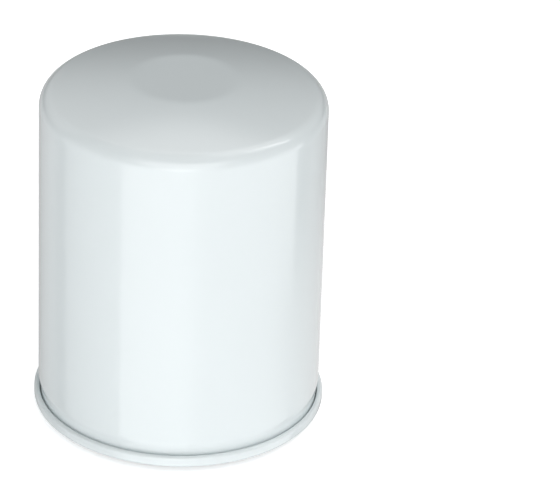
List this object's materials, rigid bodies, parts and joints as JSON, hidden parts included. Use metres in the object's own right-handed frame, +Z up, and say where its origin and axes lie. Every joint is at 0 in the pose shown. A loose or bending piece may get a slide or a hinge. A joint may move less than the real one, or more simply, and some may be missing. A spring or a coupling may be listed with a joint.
{
  "type": "spin-on oil filter",
  "caption": "Round spin-on engine oil filter: a white domed can seamed to a threaded base plate with a black sealing gasket, and a pleated paper element inside.",
  "frame": {"origin": "centre of the sealing gasket's face, the lowest face, on the filter's axis", "axes": "+Z up the filter's axis from the gasket towards the domed closed end; +X passes through the middle of one oil hole in the base plate"},
  "size_m": [0.0784, 0.0784, 0.0968],
  "materials": {
    "can_shell": "gloss cool-white enamel",
    "seam_lid": "white enamel outside the gasket groove, bare tin plate inside it",
    "seam_sealant": "matt sealing compound",
    "sealing_gasket": "matt black moulded rubber",
    "base_plate": "satin plated pressed steel",
    "anti_drain_valve": "black nitrile rubber",
    "lower_end_cap": "tin-plated steel",
    "upper_end_cap": "tin-plated steel",
    "lower_potting": "set plastisol adhesive",
    "upper_potting": "set plastisol adhesive",
    "centre_tube": "perforated tin-plated steel",
    "pleated_media": "resin-treated filter paper",
    "media_seam_clip": "folded tin-plated strip",
    "bypass_cage": "pressed steel",
    "bypass_retainer": "pressed steel",
    "bypass_seat_plate": "pressed steel",
    "bypass_poppet": "glass-filled nylon",
    "bypass_seal": "nitrile rubber",
    "bypass_spring": "spring steel wire",
    "element_spring": "blued spring steel"
  },
  "bodies": {
    "filter_body": {"can_shell": "can_shell", "seam_lid": "seam_lid", "seam_sealant": "seam_sealant", "sealing_gasket": "sealing_gasket", "base_plate": "base_plate", "lower_end_cap": "lower_end_cap", "upper_end_cap": "upper_end_cap", "lower_potting": "lower_potting", "upper_potting": "upper_potting", "centre_tube": "centre_tube", "pleated_media": "pleated_media", "media_seam_clip": "media_seam_clip", "bypass_cage": "bypass_cage", "bypass_retainer": "bypass_retainer", "bypass_seat_plate": "bypass_seat_plate", "bypass_spring": "bypass_spring", "element_spring": "element_spring"},
    "anti_drain_flap": {"anti_drain_valve": "anti_drain_valve"},
    "bypass_valve": {"bypass_poppet": "bypass_poppet", "bypass_seal": "bypass_seal"}
  },
  "joints": [
    {"name": "anti_drain_lift", "type": "slide", "parent": "filter_body", "child": "anti_drain_flap", "axis": [0, 0, 1], "range_m": [0, 0.0015], "stiffness_N_per_m": 300, "springref_m": -0.001, "deforming": ["anti_drain_valve"]},
    {"name": "bypass_open", "type": "slide", "parent": "filter_body", "child": "bypass_valve", "axis": [0, 0, -1], "range_m": [0, 0.003], "stiffness_N_per_m": 2000, "springref_m": -0.004, "deforming": ["bypass_spring"]}
  ]
}
